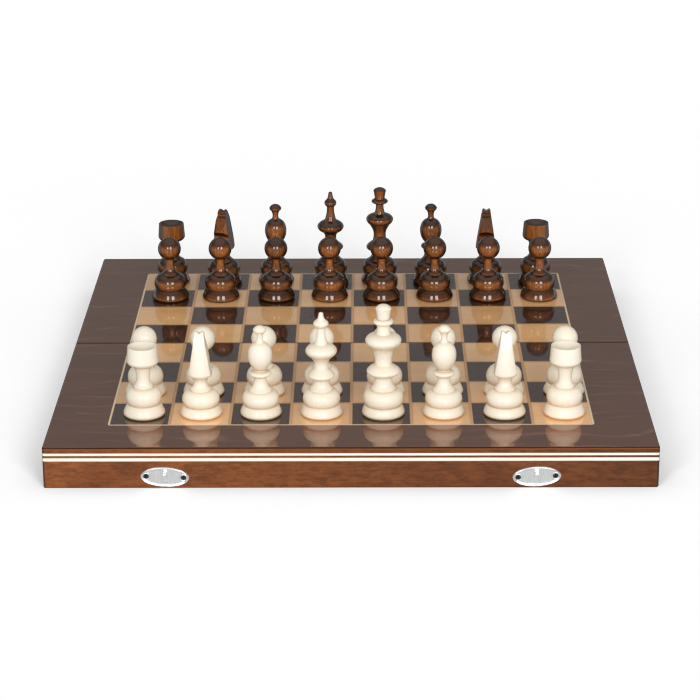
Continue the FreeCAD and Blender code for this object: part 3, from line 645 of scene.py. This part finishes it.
@dataclass(frozen=True)
class WallWood(Finish):
    """Stained wood of the walls and the panel, with the fibre along each wall.

    It is blotchy, and darker towards the right.
    """

    light: Colour = tint("8c5128")
    middle: Colour = tint("75401e")
    deep: Colour = tint("4a250f")
    # Painted shade for the rounded corners between the walls
    corner: Colour = tint("321a0c")
    side_face: float = 240.0
    fineness: float = 0.8
    line_stretch: Triple = (1.0, 1.0, 3.0)
    line_spacing: float = 30.0
    line_wander: float = 8.0
    wear_radius: float = 0.0007
    wear_share: float = 0.3
    fibre_share: float = 0.25
    mottle_scale: Triple = (0.11, 0.34, 0.34)
    mottle_band: Band = (0.38, 0.66)
    mottle_share: float = 0.60
    line_share: float = 0.12
    pore_share: float = 0.45
    drift_span: Band = (1.32, 0.70)
    corner_shade_band: Band = (1.12, 1.6)
    corner_shade_share: float = 0.8
    rough_span: Band = (0.36, 0.50)
    mitred: bool = True

    def paint(self, graph: Graph, place: Place) -> Paint:
        """Fibres along X in the long walls and along Y in the side walls, and painted shade on the rounded
        corners.
        """
        far_x = graph.math("ABSOLUTE", place.x)
        far_y = graph.math("ABSOLUTE", place.y)
        from_side = graph.math("SUBTRACT", self.side_face, far_x)
        from_latch = graph.math("SUBTRACT", self.side_face, far_y)
        along = place.mm
        if self.mitred:
            turn = graph.math("LESS_THAN", from_side, graph.math("MINIMUM", from_latch, far_y))
            along = graph.choose(turn, place.mm, graph.joined(place.y, place.x, place.z))
        grain = FibreGrain.place(graph, Vector=along, Fineness=self.fineness)
        lines = GrowthLines.place(graph, Vector=graph.scaled(along, self.line_stretch),
                                  Spacing=self.line_spacing, Wander=self.line_wander)
        touch = Handling.place(graph, Vector=place.mm)
        wear = EdgeWear.place(graph, Vector=place.mm, Radius=self.wear_radius)
        colour = graph.mix(grain["Blotch"], self.middle, self.light)
        colour = graph.layer(colour, self.deep, graph.rest(grain["Fibre"]), self.fibre_share)
        mottle = graph.noise(graph.scaled(along, self.mottle_scale), detail=5.0, rough=0.70)
        colour = graph.layer(colour, self.deep, graph.band(mottle, *self.mottle_band), self.mottle_share)
        colour = graph.layer(colour, self.deep, lines["Level"], self.line_share)
        colour = graph.layer(colour, self.deep, grain["Pores"], self.pore_share)
        rightward = graph.math("DIVIDE", graph.math("ADD", place.x, self.side_face), 2 * self.side_face)
        colour = graph.toned(colour, graph.span(rightward, *self.drift_span))
        # Painted shade: the rounded corners where two walls meet go darker
        from_corner = graph.math("MAXIMUM", from_side, from_latch)
        dark = graph.rest(graph.band(from_corner, *self.corner_shade_band))
        colour = graph.layer(colour, self.corner, dark, self.corner_shade_share)
        colour = graph.layer(colour, self.light, wear["Wear"], self.wear_share)
        return Paint(colour, graph.span(touch["Dirt"], *self.rough_span), grain["Relief"])


@dataclass(frozen=True)
class TurnedWood(Finish):
    """Turned wood of the men: fibre along the axis, with painted light and shade.

    Tops are darker, partly end grain and partly painted shade; undersides take painted warm light bounced
    from the board; grooves take stain and painted shade, and contacts and faces near other pieces take
    painted shade; faces that look aslant take a painted rim shade.
    """

    light: Colour = tint("f6efe0")
    deep: Colour = tint("eee0c6")
    # Darker tops: partly end grain, partly painted shade from above
    top: Colour = tint("f0e3ca")
    # Painted warm light bounced from the board onto faces that look down
    under: Colour = tint("eecb9c")
    # Stain and painted shade in the grooves, and painted contact shadow where the man meets the board
    groove_stain_and_shade: Colour = tint("a97c46")
    # Painted shade where other pieces stand close
    shelter_shade: Colour = tint("eec795")
    # Painted shade on faces that look aslant
    rim: Colour = tint("dcc196")
    fibre_share: float = 0.35
    top_share: float = 0.5
    top_band: Band = (0.10, 0.85)
    under_share: float = 0.5
    under_band: Band = (0.05, 0.80)
    groove_share: float = 0.55
    groove_reach: float = 0.004
    shelter_share: float = 0.28
    shelter_reach: float = 0.035
    contact_power: float = 8.0
    rim_share: float = 0.35
    rim_band: Band = (0.35, 0.95)
    rim_sheen: float = 0.5
    sheen_band: Band = (0.50, 0.90)
    tone_span: Band = (0.96, 1.02)
    rough_span: Band = (0.30, 0.42)

    def paint(self, graph: Graph, place: Place) -> Paint:
        """Fibres along Z, and painted light and shade by the way the face looks and by what stands near."""
        along = graph.joined(place.z, place.x, place.y)
        cell = SquareCells.place(graph, Vector=place.mm)
        grain = FibreGrain.place(graph, Vector=graph.shifted(along, cell["Shift"]))
        touch = Handling.place(graph, Vector=place.mm)
        hollow = Recess.place(graph, Distance=self.groove_reach)
        near = Shelter.place(graph, Distance=self.shelter_reach)
        facing = graph.add("ShaderNodeLayerWeight", {"Blend": 0.5}).outputs["Facing"]
        colour = graph.layer(self.light, self.deep, graph.rest(grain["Fibre"]), self.fibre_share)
        colour = graph.layer(colour, self.deep, grain["Pores"], self.fibre_share)
        # Darker tops: partly end grain, partly painted shade
        colour = graph.layer(colour, self.top, graph.band(place.up, *self.top_band), self.top_share)
        # Painted warm bounce light on faces that look down
        down = graph.band(graph.times(place.up, -1.0), *self.under_band)
        colour = graph.layer(colour, self.under, down, self.under_share)
        # Painted shade on faces that look aslant to the view
        colour = graph.layer(colour, self.rim, graph.band(facing, *self.rim_band), self.rim_share)
        # Painted shade where the board and other men close in
        colour = graph.layer(colour, self.shelter_shade, near["Depth"], self.shelter_share)
        # Painted contact shadow where the man stands closest to the board and other pieces
        contact_shadow = graph.math("POWER", near["Depth"], self.contact_power)
        colour = graph.layer(colour, self.groove_stain_and_shade, contact_shadow, self.groove_share)
        # Stain and painted shade in the grooves
        colour = graph.layer(colour, self.groove_stain_and_shade, hollow["Depth"], self.groove_share)
        colour = graph.toned(colour, graph.span(cell["Tone"], *self.tone_span))
        sheen = graph.span(graph.band(facing, *self.sheen_band), self.coat, self.coat * self.rim_sheen)
        return Paint(colour, graph.span(touch["Dirt"], *self.rough_span), grain["Relief"], sheen)


@dataclass(frozen=True)
class PlatedMetal(Finish):
    """Plated metal with brushed streaks, grime and painted shade in the recesses, and bright rubbed edges.
    """

    bright: Colour = tint("f8fafb")
    dull: Colour = tint("eceef0")
    grime_and_shade: Colour = tint("3c3b39")
    streak_part: float = 0.5
    grime_reach: float = 0.0012
    grime_share: float = 0.7
    wear_radius: float = 0.00025
    wear_share: float = 0.6
    rough_span: Band = (0.26, 0.34)

    def paint(self, graph: Graph, place: Place) -> Paint:
        """Streaks along Z, grime and painted shade in the recesses, and bright edges."""
        brush = Brushing.place(graph, Vector=place.mm)
        hollow = Recess.place(graph, Distance=self.grime_reach)
        wear = EdgeWear.place(graph, Vector=place.mm, Radius=self.wear_radius)
        touch = Handling.place(graph, Vector=place.mm)
        tone = graph.blend(brush["Streak"], brush["Cloud"], self.streak_part)
        colour = graph.mix(tone, self.dull, self.bright)
        # Grime and painted shade in the recesses
        colour = graph.layer(colour, self.grime_and_shade, hollow["Depth"], self.grime_share)
        colour = graph.layer(colour, self.bright, wear["Wear"], self.wear_share)
        worn = graph.math("MAXIMUM", brush["Streak"], touch["Smudge"])
        return Paint(colour, graph.span(worn, *self.rough_span), brush["Streak"])


BORDER = BorderVeneer(
    "border_veneer_lacquered", "border_veneer", specular=0.5, specular_tint=(1.0, 0.40, 0.12, 1.0),
    ior=2.2, coat=0.45, coat_roughness=0.03, coat_ior=1.9, relief=0.000002)
DARK_SQUARES = SquareVeneer(
    "dark_square_lacquered", "dark_square_veneer", specular=0.05, coat=1.0, coat_ior=1.85,
    light=tint("462819"), deep=tint("2e1a13"), rim=tint("1a0f0a"))
LIGHT_SQUARES = SquareVeneer(
    "light_square_lacquered", "light_square_veneer", specular=0.6, coat=1.0, coat_ior=2.4)
LINES = LineWood("pale_line_lacquered", "pale_line_wood", specular=0.10, coat=0.6)
WALLS = WallWood("wall_wood_lacquered", "wall_wood", specular=0.10, coat=0.5, coat_roughness=0.08)
PANEL = WallWood(
    "panel_wood_lacquered", "panel_wood", specular=0.10, coat=0.3, coat_roughness=0.10, mitred=False)
DARK_POINTS = SquareVeneer(
    "dark_point_veneer", "dark_square_veneer", coat=0.2, coat_roughness=0.15, cells=False,
    light=tint("523022"), deep=tint("37201a"), rim=tint("1f120d"))
LIGHT_POINTS = SquareVeneer(
    "light_point_veneer", "light_square_veneer", coat=0.2, coat_roughness=0.15, cells=False)
NICKEL = PlatedMetal("satin_nickel", "nickel_plate", metallic=1.0, specular=0.5, relief=0.0000001)
SCREW_STEEL = PlatedMetal(
    "blackened_screw_steel", "screw_steel", metallic=1.0, specular=0.5, relief=0.000002,
    bright=tint("4c4c4b"), dull=tint("323231"), grime_and_shade=tint("0e0d0c"), rough_span=(0.34, 0.46))
PALE_MEN = TurnedWood(
    "pale_men_lacquered", "pale_men_wood", specular=0.25, coat=0.25, coat_roughness=0.18, relief=0.00002)
DARK_MEN = TurnedWood(
    "dark_men_lacquered", "dark_men_wood", specular=0.05, coat=1.0, coat_roughness=0.05, relief=0.00003,
    light=tint("a2612c"), deep=tint("643618"), top=tint("260f05"), under=tint("8a4f24"),
    groove_stain_and_shade=tint("120804"), shelter_shade=tint("1e0e06"), rim=tint("180903"),
    fibre_share=0.8, top_share=0.87, under_share=0.4, groove_share=0.7, shelter_share=0.35,
    rim_share=0.92, rim_sheen=0.15, rim_band=(0.15, 0.60), top_band=(0.02, 0.60),
    under_band=(0.10, 0.70), tone_span=(0.78, 1.25), rough_span=(0.27, 0.34))


def mesh_piece(name: str, verts: Sequence[Vector], faces: Sequence[Sequence[int]], finish: Finish,
               body: str) -> bpy.types.Object:
    """A smooth-shaded piece that moves with a body.

    Args:
        name: the piece's name.
        verts: its points, in metres.
        faces: its faces, as numbers of its points.
        finish: what it is dressed in.
        body: the CAD body that it rides on.

    Returns:
        The new object.
    """
    data = bpy.data.meshes.new(name)
    data.from_pydata([tuple(v) for v in verts], [], [tuple(f) for f in faces])
    data.validate()
    data.materials.append(finish.material())
    data.shade_smooth()
    data.set_sharp_from_angle(angle=SHARP_ANGLE)
    piece = bpy.data.objects.new(name, data)
    bpy.context.scene.collection.objects.link(piece)
    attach(piece, body)
    log.info("%s: %d faces, %s", name, len(data.polygons), finish.name)
    return piece


@dataclass
class Shell:
    """Points and faces of a growing mesh."""

    verts: list[Vector] = field(default_factory=list)
    faces: list[tuple[int, ...]] = field(default_factory=list)

    def loft(self, rings: Sequence[Sequence[Vector]], closed: bool = False) -> None:
        """Skins rings of the same count.

        Args:
            rings: the rings, in order.
            closed: whether the last ring joins the first one. If not, both ends get a cap.
        """
        start = len(self.verts)
        count = len(rings[0])
        for ring in rings:
            self.verts.extend(ring)
        total = len(rings)
        for row in range(total if closed else total - 1):
            a = start + row * count
            b = start + (row + 1) % total * count
            for i in range(count):
                j = (i + 1) % count
                self.faces.append((a + i, a + j, b + j, b + i))
        if not closed:
            self.faces.append(tuple(range(start + count - 1, start - 1, -1)))
            self.faces.append(tuple(range(start + (total - 1) * count, start + total * count)))


@dataclass
class LatchPlates:
    """Pressed oval plates on the latch walls, with the keepers' staples.

    Sizes are in millimetres and the tilt is in degrees.
    """

    spacing: float = 290.0
    level: float = 11.25
    wall_face: float = 240.0
    tilt: float = 2.6
    length: float = 38.0
    width: float = 16.4
    oval_steps: int = 112
    rim: Sequence[tuple[float, float]] = (
        (0.0, 0.0), (0.0, 0.55), (0.10, 0.95), (0.32, 1.26), (0.62, 1.40), (0.92, 1.32), (1.22, 1.10),
        (1.50, 0.92), (1.90, 0.76), (2.40, 0.72), (4.80, 0.72), (6.40, 0.72), (7.60, 0.72))
    screw_spacing: float = 29.2
    eyelet: Sequence[tuple[float, float]] = (
        (2.16, 0.64), (2.18, 1.02), (2.36, 1.16), (2.66, 1.18), (2.92, 1.05), (3.10, 0.64))
    eyelet_steps: int = 40
    staple_width: float = 2.6
    staple_height: float = 9.2
    staple_top: float = 4.5
    staple_thickness: float = 1.0
    staple_corner: float = 1.8
    staple_root: float = 0.4
    strap_round: float = 0.32
    strap_steps: int = 3
    corner_steps: int = 10

    @staticmethod
    def ring(middle: float, along: float, across: float, height: float, steps: int) -> list[Vector]:
        """An ellipse over the plate.

        Args:
            middle: the place of its middle along the plate.
            along: its half length.
            across: its half width.
            height: how far it stands out of the wall.
            steps: the count of its points.

        Returns:
            The points of the ellipse, in order.
        """
        turns = [2 * math.pi * i / steps for i in range(steps)]
        return [Vector((middle + along * math.cos(t), across * math.sin(t), height)) for t in turns]

    def oval(self, inset: float, height: float) -> list[Vector]:
        """One ring of the plate: an ellipse drawn in by an inset."""
        return self.ring(0.0, self.length / 2 - inset, self.width / 2 - inset, height, self.oval_steps)

    def strap_path(self) -> list[tuple[Vector, Vector]]:
        """Points of the staple's middle line with the way its outside looks there."""
        half = (self.staple_height - self.staple_thickness) / 2
        top = self.staple_top - self.staple_thickness / 2
        bend = self.staple_corner - self.staple_thickness / 2
        path = [(Vector((0, -half, self.staple_root)), Vector((0, -1, 0)))]
        for side in (-1, 1):
            for i in range(self.corner_steps + 1):
                share = i / self.corner_steps if side < 0 else 1 - i / self.corner_steps
                turn = share * math.pi / 2
                out = Vector((0, side * math.cos(turn), math.sin(turn)))
                path.append((Vector((0, side * (half - bend), top - bend)) + out * bend, out))
        path.append((Vector((0, half, self.staple_root)), Vector((0, 1, 0))))
        return path

    def strap_ring(self, middle: Vector, out: Vector) -> list[Vector]:
        """Cross-section of the strap at one point of its path."""
        wide = self.staple_width / 2
        thick = self.staple_thickness / 2
        ring = []
        for corner in range(4):
            sx = 1 if corner in (0, 3) else -1
            sn = 1 if corner in (0, 1) else -1
            for i in range(self.strap_steps + 1):
                turn = math.pi / 2 * (corner + i / self.strap_steps)
                x = sx * (wide - self.strap_round) + self.strap_round * math.cos(turn)
                n = sn * (thick - self.strap_round) + self.strap_round * math.sin(turn)
                ring.append(middle + Vector((x, 0, 0)) + out * n)
        return ring

    def plate(self, staple: bool) -> Shell:
        """One plate in its own frame: X along the plate, Y up and Z out of the wall."""
        shell = Shell()
        shell.loft([self.oval(inset, height) for inset, height in self.rim])
        for x in (-self.screw_spacing / 2, self.screw_spacing / 2):
            shell.loft([self.ring(x, radius, radius, height, self.eyelet_steps)
                        for radius, height in self.eyelet], closed=True)
        if staple:
            shell.loft([self.strap_ring(middle, out) for middle, out in self.strap_path()])
        return shell

    def build(self, half: Half) -> bpy.types.Object:
        """Both plates of one half, in place of the CAD plates."""
        staple = half is Half.FRONT
        node = "keeper_plates" if staple else "hook_plates"
        both = Shell()
        for side in (-1, 1):
            shell = self.plate(staple)
            tilt = Matrix.Rotation(math.radians(side * self.tilt), 4, "Z")
            stand = Matrix.Rotation(math.pi / 2, 4, "X") @ tilt
            move = Matrix.Translation((side * self.spacing / 2, -self.wall_face, self.level))
            turn = Matrix.Identity(4) if staple else Matrix.Rotation(math.pi, 4, "Z")
            place = Matrix.Scale(MM, 4) @ turn @ move @ stand
            start = len(both.verts)
            both.verts.extend(place @ v for v in shell.verts)
            both.faces.extend(tuple(start + i for i in f) for f in shell.faces)
        piece = mesh_piece(node + "_pressed", both.verts, both.faces, NICKEL, half.value + "_half")
        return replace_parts(piece, node)


@dataclass
class BoardHalf:
    """One tray of the board with its veneers and inlays."""

    half: Half

    def dress(self) -> None:
        """Gives each piece of the tray its finish."""
        start = self.half.value + "_"
        WALLS.dress(start + "latch_wall", start + "frame_walls")
        PANEL.dress(start + "panel")
        BORDER.dress(start + "border_veneer")
        DARK_SQUARES.dress(start + "dark_squares")
        LIGHT_SQUARES.dress(start + "light_squares")
        LINES.dress(start + "maple_lines")
        DARK_POINTS.dress(start + "dark_points")
        LIGHT_POINTS.dress(start + "light_points")
        SCREW_STEEL.dress(start + "screws")
        NICKEL.dress(start + "hinge_leaves")


@dataclass
class LooseMetal:
    """Pins, rivets and hooks."""

    nodes: Sequence[str] = ("hinge_pins", "hook_rivets", "left_hook", "right_hook")

    def dress(self) -> None:
        """Gives the small metal its plating."""
        NICKEL.dress(*self.nodes)


@dataclass
class MenSet:
    """The sixteen men of one side."""

    side: Side

    def dress(self) -> None:
        """Gives every man of the side its finish."""
        finish = PALE_MEN if self.side is Side.PALE else DARK_MEN
        start = self.side.value + "_"
        finish.dress(*sorted(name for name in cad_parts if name.startswith(start)))


@dataclass
class SoftBox:
    """A rectangular lamp that looks at the middle of the board, in metres, degrees and watts."""

    name: str
    azimuth: float
    elevation: float
    distance: float
    width: float
    height: float
    power: float

    def build(self, target: Vector) -> None:
        """Adds the lamp.

        Args:
            target: the point that it looks at.
        """
        lamp = bpy.data.lights.new(self.name, "AREA")
        lamp.shape = "RECTANGLE"
        lamp.size = self.width
        lamp.size_y = self.height
        lamp.energy = self.power
        a = math.radians(self.azimuth)
        e = math.radians(self.elevation)
        back = Vector((math.sin(a) * math.cos(e), -math.cos(a) * math.cos(e), math.sin(e)))
        body = bpy.data.objects.new(self.name, lamp)
        body.location = target + back * self.distance
        body.rotation_euler = back.to_track_quat("Z", "Y").to_euler()
        bpy.context.scene.collection.objects.link(body)
        log.info("%s: %.0f W", self.name, self.power)


@dataclass
class Studio:
    """Pale floor, white backdrop, two soft boxes in front, and the camera.

    Places are in metres, turns in degrees, and the lens and its sensor in millimetres.
    """

    floor_level: float = 0.00175
    floor_size: float = 12.0
    floor_colour: Colour = (0.70, 0.70, 0.70, 1.0)
    backdrop: Colour = (1.0, 1.0, 1.0, 1.0)
    room: Colour = (0.25, 0.25, 0.25, 1.0)
    room_band: Band = (0.09, 0.18)
    ceiling: Colour = (0.75, 0.75, 0.75, 1.0)
    ceiling_band: Band = (0.50, 0.90)
    lens: float = 124.65
    sensor: float = 36.0
    eye: Triple = (0.0120, -1.9826, 0.74825)
    yaw: float = -0.400
    pitch: float = 19.940
    roll: float = -0.247
    lamp_target: Triple = (0.0, 0.0, 0.05)
    boxes: Sequence[SoftBox] = (
        SoftBox("soft_box_right", azimuth=16.0, elevation=22.5, distance=2.2, width=0.62, height=0.84,
                power=19.4),
        SoftBox("soft_box_left", azimuth=-20.0, elevation=22.5, distance=2.2, width=0.50, height=0.68,
                power=12.9),
    )

    def build(self) -> None:
        """Adds floor, surroundings, lamps and camera."""
        self.build_floor()
        self.build_surroundings()
        for box in self.boxes:
            box.build(Vector(self.lamp_target))
        self.build_camera()
        bpy.context.scene.view_settings.view_transform = "Standard"

    def build_floor(self) -> None:
        """A wide pale floor at the level of the rims, which catches the shadows."""
        half = self.floor_size / 2
        data = bpy.data.meshes.new("floor")
        corners = [(-half, -half), (half, -half), (half, half), (-half, half)]
        data.from_pydata([(x, y, self.floor_level) for x, y in corners], [], [(0, 1, 2, 3)])
        floor = bpy.data.objects.new("floor", data)
        bpy.context.scene.collection.objects.link(floor)
        made = bpy.data.materials.new("floor_white")
        made.use_nodes = True
        made.node_tree.nodes.clear()
        graph = Graph(made.node_tree)
        matte = graph.add("ShaderNodeBsdfDiffuse", {"Color": self.floor_colour})
        graph.add("ShaderNodeOutputMaterial", {"Surface": matte.outputs[0]})
        data.materials.append(made)
        floor.is_shadow_catcher = True

    def build_surroundings(self) -> None:
        """A white backdrop up to a little above the horizon, a dim room over it and a paler ceiling."""
        world = bpy.data.worlds.new("surroundings")
        bpy.context.scene.world = world
        world.use_nodes = True
        world.node_tree.nodes.clear()
        graph = Graph(world.node_tree)
        rise = graph.parts(graph.add("ShaderNodeTexCoord").outputs["Generated"])[2]
        colour = graph.mix(graph.band(rise, *self.room_band), self.backdrop, self.room)
        colour = graph.mix(graph.band(rise, *self.ceiling_band), colour, self.ceiling)
        light = graph.add("ShaderNodeBackground", {"Color": colour, "Strength": 1.0})
        graph.add("ShaderNodeOutputWorld", {"Surface": light.outputs[0]})

    def build_camera(self) -> None:
        """The camera at the photograph's place and angle."""
        yaw, pitch, roll = (math.radians(v) for v in (self.yaw, self.pitch, self.roll))
        ahead = Vector((math.sin(yaw) * math.cos(pitch), math.cos(yaw) * math.cos(pitch), -math.sin(pitch)))
        right = Vector((math.cos(yaw), -math.sin(yaw), 0.0))
        up = right.cross(ahead)
        across = math.cos(roll) * right + math.sin(roll) * up
        upright = math.cos(roll) * up - math.sin(roll) * right
        data = bpy.data.cameras.new("camera")
        data.lens = self.lens
        data.sensor_width = self.sensor
        camera = bpy.data.objects.new("camera", data)
        turn = Matrix((across, upright, -ahead)).transposed()
        camera.matrix_world = Matrix.Translation(self.eye) @ turn.to_4x4()
        bpy.context.scene.collection.objects.link(camera)
        bpy.context.scene.camera = camera


def main() -> None:
    """Builds and dresses the board, its men and the studio, in order."""
    logging.basicConfig(level=logging.INFO, format="%(name)s: %(message)s")
    plates = LatchPlates()
    for half in Half:
        BoardHalf(half).dress()
        plates.build(half)
    LooseMetal().dress()
    for side in Side:
        MenSet(side).dress()
    Studio().build()


if __name__ == "__main__":
    main()
